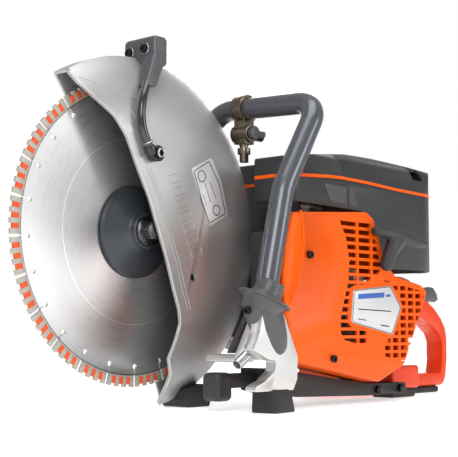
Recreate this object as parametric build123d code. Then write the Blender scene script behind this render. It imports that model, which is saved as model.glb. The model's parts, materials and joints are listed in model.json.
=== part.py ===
from build123d import *
import os
from math import cos, radians, sin

# Petrol cut-off saw with a 350 mm blade.
# X runs from the blade's front to the rear handle, Y from the starter side to the belt side, Z up.
# The sub-parts are built around the floor point below the blade's spindle and written out around
# the centre of the floor rectangle that the whole saw covers.

# ---- Driving dimensions (mm) ----
BLADE_RADIUS = 175.0
CORE_RADIUS = 162.0
CORE_THICKNESS = 2.6
SEGMENT_THICKNESS = 3.2
SEGMENT_COUNT = 25
AXLE_X, AXLE_Z = 0.0, 200.0
CRANK_X, CRANK_Z = 258.0, 112.0
CRANK_THROW = 20.0
PISTON_Y = -27.0
BORE_RADIUS = 24.05
PISTON_RADIUS = 24.0
SPINDLE_RADIUS = 10.0
SHAFT_RADIUS = 8.0
RUNNING_GAP = 0.05
GUARD_RADIUS = 200.0
GUARD_WALL = 3.0
GUARD_LEFT, GUARD_RIGHT = -42.0, 16.5
GUARD_SHOULDER_START = 110.0
GUARD_SHOULDER_RADIUS = 128.0
GUARD_EDGE_Y = -5.0
GUARD_SWEEP = 213.0
GUARD_SWEEP_Y = -49.0
ARM_FACE, ARM_BACK = 20.0, 34.0
ARM_END_RADIUS, ARM_ROOT_RADIUS = 55.0, 50.0
COVER_RIGHT = 83.0
BLADE_PULLEY_RADIUS = 44.0
DRUM_PULLEY_RADIUS = 22.0
HOOD_LEFT, HOOD_RIGHT = -128.0, 62.0
HOOD_FRONT, HOOD_REAR_X = 128.0, 486.0
HOOD_WALL = 3.0
HOOD_SPLIT_X = 238.0
STARTER_FACE, STARTER_BACK = -152.0, -100.0
HANDLE_TUBE_RADIUS = 13.0
HANDLE_Y = -148.0
REAR_LEFT, REAR_RIGHT = -54.0, -28.0
REAR_X = 582.0
TANK_FRONT, TANK_REAR = 332.0, 440.0
TANK_LEFT, TANK_RIGHT = -62.0, 30.0
SCREW_HEAD = 3.5
GRIP_LEFT = -172.0
FRONT_X = -BLADE_RADIUS

CENTRE_X = (FRONT_X + REAR_X) / 2
CENTRE_Y = (GRIP_LEFT + COVER_RIGHT + SCREW_HEAD) / 2


# ---- Shape helpers ----
def block(x0, x1, y0, y1, z0, z1):
    return Pos((x0 + x1) / 2, (y0 + y1) / 2, (z0 + z1) / 2) * Box(x1 - x0, y1 - y0, z1 - z0)


def soft_block(x0, x1, y0, y1, z0, z1, radius):
    shape = block(x0, x1, y0, y1, z0, z1)
    return fillet(shape.edges(), radius)


def side_face(points, radius=0.0):
    face = make_face(Polyline(*points, close=True))
    return fillet(face.vertices(), radius) if radius else face


def extrude_y(face, y0, y1):
    """Solid of an X-Z outline between y0 and the larger y1."""
    return extrude(Plane.XZ.offset(-y1) * face, y1 - y0)


def side_plate(points, y0, y1, radius=0.0):
    return extrude_y(side_face(points, radius), y0, y1)


def cyl_x(y, z, radius, x0, x1):
    return Pos((x0 + x1) / 2, y, z) * Rot(0, 90, 0) * Cylinder(radius, x1 - x0)


def cyl_y(x, z, radius, y0, y1):
    return Pos(x, (y0 + y1) / 2, z) * Rot(90, 0, 0) * Cylinder(radius, y1 - y0)


def cyl_z(x, y, radius, z0, z1):
    return Pos(x, y, (z0 + z1) / 2) * Cylinder(radius, z1 - z0)


def ring_y(x, z, outer, inner, y0, y1):
    return cyl_y(x, z, outer, y0, y1) - cyl_y(x, z, inner, y0 - 1, y1 + 1)


def hex_y(x, z, across_flats, y0, y1):
    return extrude_y(Pos(x, z) * RegularPolygon(across_flats / 2, 6, major_radius=False), y0, y1)


def turned_y(x, z, profile):
    """Solid of revolution about the Y axis through (x, z), from (radius, y) points."""
    face = make_face(Polyline(*[(r, y) for r, y in profile], close=True))
    return Pos(x, 0, z) * revolve(face, Axis.Y, 360)


def rod_between(start, end, radius):
    start, end = Vector(*start), Vector(*end)
    axis = end - start
    plane = Plane(origin=start, z_dir=axis)
    return extrude(plane * Circle(radius), axis.length)


def tube(points, radii, radius):
    path = FilletPolyline(*points, radius=radii)
    return sweep(Plane(origin=path @ 0, z_dir=path % 0) * Circle(radius), path=path)


def belt_face(end_radius, root_radius):
    """Outline around two circles, on the spindle and on the crankshaft."""
    circles = Pos(AXLE_X, AXLE_Z) * Circle(end_radius) + Pos(CRANK_X, CRANK_Z) * Circle(root_radius)
    return make_hull(circles.edges())


def socket_screw(x, z, y_face, out=-1, radius=4.5, height=SCREW_HEAD):
    """Cap screw head with a hexagon socket, standing on a face at y_face."""
    y0, y1 = sorted((y_face, y_face + out * height))
    mouth0, mouth1 = sorted((y_face + out * (height - 2.2), y_face + out * (height + 1)))
    return cyl_y(x, z, radius, y0, y1) - hex_y(x, z, radius, mouth0, mouth1)


def polar(radius, degrees):
    return (AXLE_X + radius * cos(radians(degrees)), AXLE_Z + radius * sin(radians(degrees)))


# ---- Blade and spindle ----
SEGMENT_PITCH = 360 / SEGMENT_COUNT
FIRST_SLOT = 127.0


def blade_core():
    half = CORE_THICKNESS / 2
    core = cyl_y(AXLE_X, AXLE_Z, CORE_RADIUS, -half, half) - cyl_y(AXLE_X, AXLE_Z, SPINDLE_RADIUS, -9, 9)
    slot = Pos(CORE_RADIUS - 5, 0) * Rectangle(14, 1.4) + Pos(CORE_RADIUS - 10, 0) * Circle(3)
    for k in range(SEGMENT_COUNT):
        turned = Pos(AXLE_X, AXLE_Z) * Rot(0, 0, FIRST_SLOT + k * SEGMENT_PITCH) * slot
        core -= extrude_y(turned, -9, 9)
    return core


def blade_segments():
    """Diamond segments with bare teeth standing proud of the fill between them."""
    half = SEGMENT_THICKNESS / 2
    length = SEGMENT_PITCH - 1.2
    teeth, fill_depth = 4, 3.0
    ring = Circle(BLADE_RADIUS) - Circle(CORE_RADIUS)
    notch_ring = Circle(BLADE_RADIUS + 1) - Circle(BLADE_RADIUS - fill_depth)
    wide = BLADE_RADIUS + 20
    step = length / (2 * teeth - 1)

    def wedge(a0, a1):
        corners = [(0, 0), (wide * cos(radians(a0)), wide * sin(radians(a0)))]
        corners.append((wide * cos(radians(a1)), wide * sin(radians(a1))))
        return make_face(Polyline(*corners, close=True))

    segment = ring & wedge(-length / 2, length / 2)
    for k in range(teeth - 1):
        start = -length / 2 + (2 * k + 1) * step
        segment -= notch_ring & wedge(start, start + step)
    solid = extrude_y(segment, -half, half)
    turns = [FIRST_SLOT + (k + 0.5) * SEGMENT_PITCH for k in range(SEGMENT_COUNT)]
    return [Pos(AXLE_X, 0, AXLE_Z) * Rot(0, -turn, 0) * solid for turn in turns]


def outer_flange():
    profile = [(10, -1.6), (24, -1.6), (24, -10), (44, -5), (44, -1.6), (52.5, -1.6), (52.5, -6), (47, -9)]
    profile += [(27, -14), (21, -18), (20, -23), (10, -23)]
    return turned_y(AXLE_X, AXLE_Z, profile)


def inner_flange():
    profile = [(10, 1.6), (52.5, 1.6), (52.5, 6), (46, 8), (18, 8), (18, 21.7), (10, 21.7)]
    return turned_y(AXLE_X, AXLE_Z, profile)


def blade_bolt():
    bolt = hex_y(AXLE_X, AXLE_Z, 19, -37, -26) + cyl_y(AXLE_X, AXLE_Z, 5, -26, -4)
    bolt = bolt & turned_y(AXLE_X, AXLE_Z, [(0, -37), (9.6, -37), (11.4, -35.5), (11.4, 0), (0, 0)])
    washer = ring_y(AXLE_X, AXLE_Z, 17, 5, -26, -23)
    return [bolt, washer]


def blade_spindle():
    spindle = cyl_y(AXLE_X, AXLE_Z, SPINDLE_RADIUS, -20, 77)
    return spindle - cyl_y(AXLE_X, AXLE_Z, 5, -21, -3.5)


def ribbed_pulley(x, z, radius, bore, y0, y1):
    ribs = 6
    pitch = (y1 - y0 - 4) / ribs
    profile = [(bore, y0), (radius + 2, y0), (radius + 2, y0 + 1.5)]
    for k in range(ribs):
        start = y0 + 2 + k * pitch
        profile += [(radius, start), (radius - 2, start + pitch / 2)]
    profile += [(radius, y1 - 2), (radius + 2, y1 - 1.5), (radius + 2, y1), (bore, y1)]
    return turned_y(x, z, profile)


def blade_pulley():
    pulley = ribbed_pulley(AXLE_X, AXLE_Z, BLADE_PULLEY_RADIUS, SPINDLE_RADIUS, 53, 75)
    pulley -= ring_y(AXLE_X, AXLE_Z, 36, 18, 66, 80)
    holes = [Pos(AXLE_X, 0, AXLE_Z) * Rot(0, 60 * k, 0) * cyl_y(27, 0, 6, 50, 80) for k in range(6)]
    return pulley - holes


# ---- Engine ----
def crankcase():
    case = side_plate([(216, 58), (216, 166), (322, 166), (322, 58)], -90, ARM_FACE, 14)
    case -= cyl_y(CRANK_X, CRANK_Z, 36, -52, -2)
    case -= cyl_y(CRANK_X, CRANK_Z, 17, -91, ARM_FACE + 1)
    case -= cyl_z(CRANK_X, PISTON_Y, BORE_RADIUS, CRANK_Z, 170)
    case -= block(300, 316, -95, 12, 66, 158)
    for y0, y1 in ((-84, -58), (4, 14)):
        case -= block(222, 298, y0, y1, 50, 160) - cyl_y(CRANK_X, CRANK_Z, 27, y0 - 1, y1 + 1)
    return case


def cylinder():
    barrel = cyl_z(CRANK_X, PISTON_Y, 31, 166, 252)
    for k in range(8):
        barrel += cyl_z(CRANK_X, PISTON_Y, 37, 174 + 10 * k, 176.6 + 10 * k)
    barrel -= cyl_z(CRANK_X, PISTON_Y, BORE_RADIUS, 160, 236)
    return barrel - cyl_z(CRANK_X, PISTON_Y, 6, 230, 260)


def piston():
    body = cyl_z(CRANK_X, PISTON_Y, PISTON_RADIUS, 176, 212) - cyl_z(CRANK_X, PISTON_Y, 19, 170, 205)
    for z in (200, 206):
        body -= cyl_z(CRANK_X, PISTON_Y, 30, z, z + 1.5) - cyl_z(CRANK_X, PISTON_Y, 22.5, z - 1, z + 3)
    return body + cyl_y(CRANK_X, 190, 5.5, PISTON_Y - 20, PISTON_Y + 20)


def crankshaft():
    pin_x = CRANK_X + CRANK_THROW
    shaft = cyl_y(CRANK_X, CRANK_Z, SHAFT_RADIUS, -128, -36)
    shaft += cyl_y(CRANK_X, CRANK_Z, SHAFT_RADIUS, -18, 77)
    webs = cyl_y(CRANK_X, CRANK_Z, 33, -47, -36) + cyl_y(CRANK_X, CRANK_Z, 33, -18, -7)
    webs -= [cyl_y(CRANK_X - 12, z, 5, -60, 0) for z in (CRANK_Z - 22, CRANK_Z + 22)]
    return shaft + webs + cyl_y(pin_x, CRANK_Z, 7, -40, -14)


def ball_bearings():
    rings = [ring_y(CRANK_X, CRANK_Z, 17, SHAFT_RADIUS + RUNNING_GAP, y, y + 12) for y in (-68, 2)]
    rings += [ring_y(AXLE_X, AXLE_Z, 21, SPINDLE_RADIUS + RUNNING_GAP, y, y + 12) for y in (22, 37)]
    return rings


def flywheel():
    wheel = ring_y(CRANK_X, CRANK_Z, 50, SHAFT_RADIUS, -112, -106)
    wheel += ring_y(CRANK_X, CRANK_Z, 16, SHAFT_RADIUS, -125, -106)
    fin = side_plate([(17, -1.2), (17, 1.2), (48, 6), (48, 3.6)], -122, -112)
    return wheel + [Pos(CRANK_X, 0, CRANK_Z) * Rot(0, 30 * k, 0) * fin for k in range(12)]


def clutch_shoes():
    shoes = ring_y(CRANK_X, CRANK_Z, 33.5, SHAFT_RADIUS, 38, 48)
    shoes -= ring_y(CRANK_X, CRANK_Z, 24, 16, 36, 50)
    cut = block(14, 40, 35, 52, -2, 2)
    shoes -= [Pos(CRANK_X, 0, CRANK_Z) * Rot(0, 120 * k, 0) * cut for k in range(3)]
    bridge = block(14, 26, 40, 46, -3, 3)
    return shoes + [Pos(CRANK_X, 0, CRANK_Z) * Rot(0, 60 + 120 * k, 0) * bridge for k in range(3)]


def clutch_drum():
    bore = SHAFT_RADIUS + RUNNING_GAP
    cup = ring_y(CRANK_X, CRANK_Z, 38, 34.5, 37, 50) + ring_y(CRANK_X, CRANK_Z, 38, bore, 50, 53)
    return cup + ribbed_pulley(CRANK_X, CRANK_Z, DRUM_PULLEY_RADIUS, bore, 53, 75)


def spark_plug():
    plug = cyl_z(CRANK_X, PISTON_Y, 6, 240, 252) + cyl_z(CRANK_X, PISTON_Y, 10, 252, 258)
    return plug + cyl_z(CRANK_X, PISTON_Y, 6, 258, 278) + cyl_z(CRANK_X, PISTON_Y, 9, 270, 292)


def muffler():
    """Box with a slanting strap that reaches forward to the bracket's shelf."""
    outline = [(143, 66), (143, 206), (204, 206), (206, 66)]
    inside = offset(side_face(outline, 6), -1.6)
    box = side_plate(outline, -96, -53, 6) - extrude_y(inside, -94.4, -54.6)
    strap = side_plate([(58, 63.5), (76, 63.5), (96, 102), (144, 106), (144, 116), (88, 108)], -98, -91, 1)
    return box + (strap - extrude_y(inside, -94.4, -54.6))


PIPE_START, PIPE_END = (53, -137, 70.5), (23, -137, 52)


def exhaust_pipe():
    """Short steel stub with a collar at its root."""
    pipe = rod_between(PIPE_START, PIPE_END, 5.8)
    start, end = Vector(*PIPE_START), Vector(*PIPE_END)
    way = (end - start).normalized()
    collar = rod_between(start + way * 3, start + way * 8, 8.5)
    bore = rod_between(start + way * 12, end + way * 2, 4.6)
    return (pipe + collar) - bore


def carburettor():
    body = soft_block(324, 348, -46, -8, 156, 226, 3)
    body += cyl_x(PISTON_Y, 206, 15, 348, 352)
    body -= cyl_x(PISTON_Y, 206, 10, 320, 360)
    return body - cyl_y(334, 161, 2.5 + RUNNING_GAP, -30, 0)


def intake_boot():
    boot = cyl_x(PISTON_Y, 206, 14, 280, 324) - cyl_x(PISTON_Y, 206, 10, 280, 330)
    return max((boot - cylinder()).solids(), key=lambda solid: solid.center().X)


def air_filter():
    box = block(352, 448, -90, 35, 186, 260)
    for k in range(9):
        box -= block(358 + 10 * k, 362 + 10 * k, -100, 40, 250, 270)
    box -= block(366, 436, -76, 21, 190, 244)
    return box - cyl_x(PISTON_Y, 206, 10, 350, 380)


# ---- Cutting arm and belt drive ----
def cutting_arm():
    """Cast plate between crankshaft and spindle, pocketed behind the belt, with a boss for the guard."""
    arm = extrude_y(belt_face(ARM_END_RADIUS, ARM_ROOT_RADIUS), ARM_FACE, ARM_BACK)
    arm += cyl_y(AXLE_X, AXLE_Z, 30, 10, 50)
    arm += side_plate([(112, 150), (148, 140), (146, 232), (114, 232)], ARM_FACE, ARM_BACK, 5)
    pocket = extrude_y(belt_face(ARM_END_RADIUS - 8, ARM_ROOT_RADIUS - 8), ARM_FACE + 5, ARM_BACK + 1)
    pocket -= cyl_y(AXLE_X, AXLE_Z, 34, 0, 60) + cyl_y(CRANK_X, CRANK_Z, 26, 0, 60)
    pocket -= [block(x - 4, x + 4, 0, 60, 0, 300) for x in (66, 130, 194)]
    arm -= pocket
    arm -= cyl_y(AXLE_X, AXLE_Z, 21, 0, 60)
    return arm - cyl_y(CRANK_X, CRANK_Z, 17, 0, 60)


def drive_belt():
    gap, thickness = 2.4, 4.0
    inner = belt_face(BLADE_PULLEY_RADIUS + gap, DRUM_PULLEY_RADIUS + gap)
    outer = belt_face(BLADE_PULLEY_RADIUS + gap + thickness, DRUM_PULLEY_RADIUS + gap + thickness)
    return extrude_y(outer, 56, 72) - extrude_y(inner, 50, 80)


def belt_cover():
    wall = 3.0
    shell = extrude_y(belt_face(ARM_END_RADIUS, ARM_ROOT_RADIUS), ARM_BACK, COVER_RIGHT)
    shell = chamfer(shell.faces().sort_by(Axis.Y)[-1].edges(), 6)
    inner = belt_face(ARM_END_RADIUS - wall, ARM_ROOT_RADIUS - wall)
    shell -= extrude_y(inner, ARM_BACK - 1, COVER_RIGHT - 6)
    for k in range(5):
        x = 96 + 16 * k
        z = 168 - 5.4 * k
        shell -= side_plate([(x, z - 16), (x, z + 16), (x + 5, z + 14), (x + 5, z - 18)], 70, 90, 2)
    return shell


# ---- Guard ----
def guard_profile(shrink):
    """Half section (radius, y): flat right wall, narrow rim, rounded shoulder, flat left wall."""
    radius = GUARD_SHOULDER_RADIUS - shrink
    rim = GUARD_RADIUS - shrink
    centre_y = GUARD_LEFT + GUARD_SHOULDER_RADIUS
    run = rim - GUARD_SHOULDER_START
    edge_y = centre_y - (radius**2 - run**2) ** 0.5
    middle = run * 0.55
    middle_y = centre_y - (radius**2 - middle**2) ** 0.5
    left, right = GUARD_LEFT + shrink, GUARD_RIGHT - shrink
    lines = Polyline((0, left), (0, right), (rim, right), (rim, edge_y))
    lines += ThreePointArc((rim, edge_y), (GUARD_SHOULDER_START + middle, middle_y),
        (GUARD_SHOULDER_START, left))
    lines += Line((GUARD_SHOULDER_START, left), (0, left))
    return make_face(lines)


def guard_body(shrink=0.0):
    return Pos(AXLE_X, 0, AXLE_Z) * revolve(guard_profile(shrink), Axis.Y, 360)


GUARD_FRONT_ANGLE, GUARD_LOW_ANGLE = 122.0, -73.0


def guard_outline(edge):
    """Outline of one guard wall, closed far outside the rim behind its front edge."""
    far = 260
    front, low = polar(far, GUARD_FRONT_ANGLE), polar(far, GUARD_LOW_ANGLE)
    return edge + [front, (front[0], 480), (400, 480), (400, -80), (low[0], -80), low]


GUARD_LEFT_EDGE = [(31, 12), (30, 40), (20, 57), (27, 76), (34, 97), (32, 112), (24, 133), (13, 165),
    (-16, 235), (-34, 268), (-50, 299), (-66, 320), (-87, 338), (-100, 354), (-106, 370)]
GUARD_RIGHT_EDGE = [(58, 11), (40, 60), (30, 120), (-36, 200), (-40, 260), (-78, 330), (-106, 370)]


def guard_shell():
    """Left wall, rounded shoulder and rim."""
    shell = guard_body() - guard_body(GUARD_WALL)
    shell -= cyl_y(AXLE_X, AXLE_Z, GUARD_RADIUS - GUARD_WALL, GUARD_RIGHT - GUARD_WALL, 30)
    left = shell & side_plate(guard_outline(GUARD_LEFT_EDGE), -60, GUARD_EDGE_Y)
    right = shell & side_plate(guard_outline(GUARD_RIGHT_EDGE), GUARD_EDGE_Y, 30)
    return (left + right) - cyl_y(55, 149, 4.5, -50, -30)


def guard_back():
    """Flat right wall with the hub that turns on the cutting arm's boss."""
    disc = cyl_y(AXLE_X, AXLE_Z, GUARD_RADIUS - GUARD_WALL, GUARD_RIGHT - GUARD_WALL, GUARD_RIGHT)
    wall = disc & side_plate(guard_outline(GUARD_RIGHT_EDGE), 0, 30)
    hub = ring_y(AXLE_X, AXLE_Z, 42, 30 + RUNNING_GAP, 12, 18)
    return (wall + hub) - cyl_y(AXLE_X, AXLE_Z, 30 + RUNNING_GAP, 0, 30)


def guard_label():
    corners = [(51, 274), (85, 290), (102, 263), (114, 225), (82, 209)]
    return side_plate(corners, -43, -38, 3) - guard_body()


def guard_grip():
    """Hand block on the guard's top, with a leg that slants down to the hose."""
    grip = soft_block(-3, 19, -37, 16, 388, 423, 6)
    top = Plane.XY.offset(402) * Pos(8, -26) * RectangleRounded(21, 22, 4)
    foot = Plane.XY.offset(360) * Pos(-17, -39) * RectangleRounded(17, 16, 4)
    return (grip + loft([foot, top])) - guard_body()


GRIP_SCREW_PLACES = [(5, 407), (-20, 408.5)]


def guard_screws():
    """Two cap screws in the grip and the bolt through the hose's elbow."""
    heads = []
    for y, z in GRIP_SCREW_PLACES:
        heads.append(cyl_x(y, z, 5, -6.2, -3) - cyl_x(y, z, 2.4, -7, -4.5))
    bolt = cyl_y(-12, 284, 4, -53, GUARD_LEFT) + cyl_y(-12, 284, 6.5, -57, -53)
    return heads + [bolt - hex_y(-12, 284, 5, -58, -54)]


def guard_foot():
    foot = side_plate([(66, 0), (102, 0), (107, 16), (105, 26), (62, 22), (62, 8)], -24, 16, 3)
    return foot - guard_body()


HOSE_ROUTE = [(-19, -41, 363), (-30, -46, 345), (-35, -48, 325), (-32, -49, 306), (-24, -49.5, 291)]


def hose_radii(points, share=0.45):
    """Bend radius at each inner point: as large as its two runs allow."""
    radii = []
    for a, b, c in zip(points, points[1:], points[2:]):
        first, second = Vector(*b) - Vector(*a), Vector(*c) - Vector(*b)
        half_turn = radians(first.get_angle(second) / 2)
        radii.append(share * min(first.length, second.length) * cos(half_turn) / sin(half_turn))
    return radii


def water_hose():
    return tube(HOSE_ROUTE, hose_radii(HOSE_ROUTE), 4.8) - guard_grip()


def hose_nozzle():
    last, before = Vector(*HOSE_ROUTE[-1]), Vector(*HOSE_ROUTE[-2])
    way = (last - before).normalized()
    spigot = rod_between(last, last + way * 10, 6.2)
    eye = ring_y(-12, 284, 9, 4, -53, GUARD_LEFT)
    return spigot - cyl_y(-12, 284, 5, -60, GUARD_LEFT) + eye - guard_screws()[-1]


# ---- Starter ----
STARTER_OUTLINE = [(101, 221), (88, 185), (83, 150), (85, 110), (97, 73), (109, 54), (280, 26),
    (302, 37), (322, 47)]
STARTER_OUTLINE += [(376, 138), (362, 146), (304, 156), (284, 171), (258, 224), (244, 231)]
LABEL_OUTLINE = [(213, 136), (290, 143), (313, 117), (293, 83), (208, 98)]


def grille_slots():
    """Rows of air slots, left out around the maker's plate."""
    row_pitch, slot_height, rows = 9.2, 5.6, 19
    front_columns = [(186, 221), (225, 250), (254, 276)]
    rear_columns = [(278 + 17 * k, 291 + 17 * k) for k in range(6)]
    front_region = side_face([(188, 217), (200, 197), (206, 170), (204, 146), (189, 106), (188, 86),
        (196, 77), (240, 70), (240, 146), (262, 154), (275, 167), (262, 196), (250, 217)])
    rear_region = side_face([(278, 150), (363, 138), (366, 130), (332, 52), (319, 50), (250, 62),
        (250, 74), (285, 74)])
    plate_pad = offset(side_face(LABEL_OUTLINE, 5), 5)
    slots = Sketch()
    for columns, region in ((front_columns, front_region), (rear_columns, rear_region)):
        cells = Sketch()
        for x0, x1 in columns:
            for k in range(rows):
                z = 46 + row_pitch * k
                cells += Pos((x0 + x1) / 2, z + slot_height / 2) * Rectangle(x1 - x0, slot_height)
        slots += (cells & region) - plate_pad
    faces = [face for face in slots.faces() if face.area > 12]
    return [extrude_y(face, STARTER_FACE - 5, STARTER_FACE + 8) for face in faces]


def starter_body(shrink=0.0):
    """Outline run across the saw, with its front end slanting in towards the engine."""
    face = side_face(STARTER_OUTLINE, 5)
    body = extrude_y(offset(face, -shrink) if shrink else face, STARTER_FACE + shrink,
        STARTER_BACK + min(shrink, 1))
    plan = [(70, -170), (82, -146), (118, STARTER_BACK + 2), (420, STARTER_BACK + 2), (420, -170)]
    wedge = extrude(Plane.XY * make_face(Polyline(*plan, close=True)), 300)
    return body & (Pos(shrink, 0, 0) * wedge)


def starter_cover():
    shell = starter_body()
    shell = fillet(shell.faces().sort_by(Axis.Y)[0].edges(), 4)
    shell -= starter_body(3)
    shell -= grille_slots()
    shell += cyl_y(CRANK_X, CRANK_Z, 5, STARTER_FACE + 1, -128)
    ridge_curve = ThreePointArc((114, 222), (117, 172), (98, 122))
    ridge = make_face(offset(ridge_curve, 1.5).edges())
    return shell + extrude_y(ridge, STARTER_FACE - 1.5, STARTER_FACE + 1)


def starter_label():
    return side_plate(LABEL_OUTLINE, STARTER_FACE - 1, STARTER_FACE, 4)


def starter_pulley():
    profile = [(5 + RUNNING_GAP, -143), (28, -143), (28, -141), (22, -140), (22, -134), (28, -133),
        (28, -131), (5 + RUNNING_GAP, -131)]
    return turned_y(CRANK_X, CRANK_Z, profile)


def starter_grip():
    """Long sloping bar with a stem that narrows towards the rope."""
    outline = [(239, 211), (262, 219), (300, 213), (346, 204), (353, 198), (347, 192), (313, 188), (297, 181)]
    outline += [(280, 162), (267, 159), (258, 168), (270, 196), (242, 204)]
    grip = side_plate(outline, GRIP_LEFT, -154, 3)
    return fillet(grip.faces().sort_by(Axis.Y)[0].edges(), 2.5)


# ---- Hood ----
def hood_section(grow=0.0):
    """Cross-section in the Y-Z plane, run along X."""
    points = [(HOOD_LEFT, 100), (HOOD_LEFT, 264), (-113, 298), (-84, 318), (24, 318), (50, 298)]
    points += [(HOOD_RIGHT, 264), (HOOD_RIGHT, 100)]
    face = make_face(Polyline(*points, close=True))
    face = fillet(face.vertices().filter_by(lambda v: v.Y > 200), 11)
    face = offset(face, grow) if grow else face
    return extrude(Plane.YZ.offset(40) * face, 470)


HOOD_TOP = [(HOOD_FRONT, 291), (150, 294), (192, 300), (273, 310), (330, 311), (408, 307), (452, 302),
    (477, 291)]
HOOD_REAR = [(HOOD_REAR_X, 250), (485, 214), (477, 167)]
HOOD_LEFT_LOW = [(328, 166), (310, 171), (300, 178), (291, 204), (282, 224), (268, 235), (HOOD_FRONT, 238)]
HOOD_RIGHT_LOW = [(300, 172), (216, 190), (216, 300)]
HOOD_MIDDLE = -72.0


def hood_plan(shrink=0.0):
    """Outline seen from above, with a wide curve at the rear left corner."""
    corners = [(HOOD_FRONT, HOOD_LEFT), (HOOD_REAR_X, HOOD_LEFT), (HOOD_REAR_X, HOOD_RIGHT),
        (HOOD_FRONT, HOOD_RIGHT)]
    face = make_face(Polyline(*corners, close=True))
    for corner, radius in zip(corners, (16, 96, 40)):
        vertex = face.vertices().sort_by_distance((*corner, 0))[0]
        face = fillet(vertex, radius)
    return extrude(Plane.XY * (offset(face, -shrink) if shrink else face), 400)


def hood_solid(shrink=0.0):
    left = side_face(HOOD_TOP + HOOD_REAR + HOOD_LEFT_LOW, 4)
    right = side_face(HOOD_TOP[3:] + HOOD_REAR + HOOD_RIGHT_LOW, 4)
    if shrink:
        left, right = offset(left, -shrink), offset(right, -shrink)
    solid = extrude_y(left, -140, HOOD_MIDDLE + shrink) + extrude_y(right, HOOD_MIDDLE + shrink, 80)
    solid &= hood_section(-shrink)
    solid &= hood_plan(shrink)
    return solid - cyl_y(AXLE_X, AXLE_Z, GUARD_SWEEP + shrink, GUARD_SWEEP_Y - shrink, 90)


def hood():
    inner = hood_solid(HOOD_WALL)
    shell = hood_solid() - inner - Pos(0, 0, -8) * inner
    shell -= block(396, 420, -118, -104, 270, 330)
    return shell - cyl_z(232, -45, 8, 290, 330)


def cylinder_cover():
    return max((hood() & block(0, HOOD_SPLIT_X - 0.2, -200, 200, 0, 400)).solids(), key=lambda s: s.volume)


def air_filter_cover():
    return max((hood() & block(HOOD_SPLIT_X + 0.2, 600, -200, 200, 0, 400)).solids(),
        key=lambda s: s.volume)


def cover_stripe():
    """Narrow band laid on the hood's front, left, rear and right faces."""
    centre = [(110, 268), (133, 268), (200, 272.5), (228, 273.5), (284, 272), (342, 268.7), (400, 267),
        (440, 267.5)]
    centre += [(500, 271)]
    height = 2.0
    outline = [(x, z + height) for x, z in centre] + [(x, z - height) for x, z in reversed(centre)]
    skin = hood_solid(-0.8) - hood_solid()
    strips = (side_plate(outline, -140, 80) & skin) - cyl_y(AXLE_X, AXLE_Z, GUARD_SWEEP, GUARD_SWEEP_Y, 90)
    return [strip for strip in strips.solids() if strip.volume > 50]


# ---- Front handle and its mountings ----
HANDLE_ROUTE = [(56, HANDLE_Y, 122), (88, HANDLE_Y, 246), (156, HANDLE_Y, 354), (161, 12, 362),
    (146, 54, 300), (132, 48, 218)]
HANDLE_BENDS = [60, 34, 40, 40]


def front_handle():
    """Bent steel tube with a bolted boss at its right end."""
    outside = tube(HANDLE_ROUTE, HANDLE_BENDS, HANDLE_TUBE_RADIUS)
    handle = outside - tube(HANDLE_ROUTE, HANDLE_BENDS, HANDLE_TUBE_RADIUS - 2)
    return handle + cyl_y(134, 228, 9, ARM_BACK, 48)


def collar_plane():
    """Plane of the collar's brim, tipped forwards and down towards the starter."""
    return Plane(origin=Vector(*HANDLE_ROUTE[0]), z_dir=Vector(0.36, -0.20, 0.91).normalized())


def handle_collar():
    """Flared boot around the foot of the left leg, over a round skirt."""
    flare = [(0, 20), (15.5, 20), (17.5, 11), (22, 6), (30, 2), (30, -1.5), (26, -4), (24.5, -17), (0, -17)]
    boot = collar_plane() * revolve(Plane.XZ * make_face(Polyline(*flare, close=True)), Axis.Z, 360)
    boot -= tube(HANDLE_ROUTE, HANDLE_BENDS, HANDLE_TUBE_RADIUS)
    boot = max(boot.solids(), key=lambda solid: solid.volume)
    return boot - starter_body(-0.4) - cyl_x(-146, 110, 4.6, 20, 33)


def handle_sleeve():
    """Tapered tongue in front of the bracket's leg."""
    outline = [(25, 110), (72, 110), (80, 88), (83, 68), (77, 62), (56, 62), (45, 66), (35, 84)]
    tongue = side_plate(outline, -168, -161, 5)
    return tongue - handle_collar() - front_handle()


def front_bracket():
    """Cast bracket: front plate and leg, slanted gusset wall, shelf and a bar between the feet."""
    outline = [(40, 112), (34, 86), (24, 68), (48, 58), (61, 56), (59, 45), (44, 35), (27, 29), (26, 24)]
    outline += [(90, 24), (97, 36), (98, 60), (88, 80), (72, 112)]
    plate = side_plate(outline, -160, -146, 2)
    gusset_edge = [(-150, 112), (-138, 108), (-116, 66), (-112, 57), (-150, 57)]
    gusset = extrude(Plane.YZ.offset(46) * make_face(Polyline(*gusset_edge, close=True)), 8)
    shelf = soft_block(50, 74, -118, -66, 54, 62, 2)
    bar = soft_block(58, 74, -150, -94, 16, 25, 2)
    riser = block(60, 72, -160, -146, 16, 30)
    bracket = plate + gusset + shelf + bar + riser
    bracket = bracket - handle_collar() - front_handle() - front_foot() - exhaust_pipe()
    return max(bracket.solids(), key=lambda solid: solid.volume)


def front_foot():
    """Rubber block, a little wider at the floor."""
    floor = Plane.XY * Pos(73, -146) * Rot(0, 0, 8) * RectangleRounded(42, 34, 5)
    top = Plane.XY.offset(25) * Pos(70, -146) * Rot(0, 0, 8) * RectangleRounded(36, 31, 5)
    return loft([floor, top])


def side_foot():
    """Rounded rubber buffer beside the front foot, on a flat tongue."""
    pad = soft_block(42, 68, -93, -66, 10, 42, 7)
    return pad + block(64, 112, -86, -70, 24, 40)


def lower_link():
    outline = [(112, 20), (112, 46), (290, 22), (372, 22), (376, 8), (290, 8), (150, 12)]
    link = side_plate(outline, -118, -64, 3)
    for x in (150, 210, 330):
        link -= block(x, x + 40, -110, -70, 14, 60)
    return link


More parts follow.
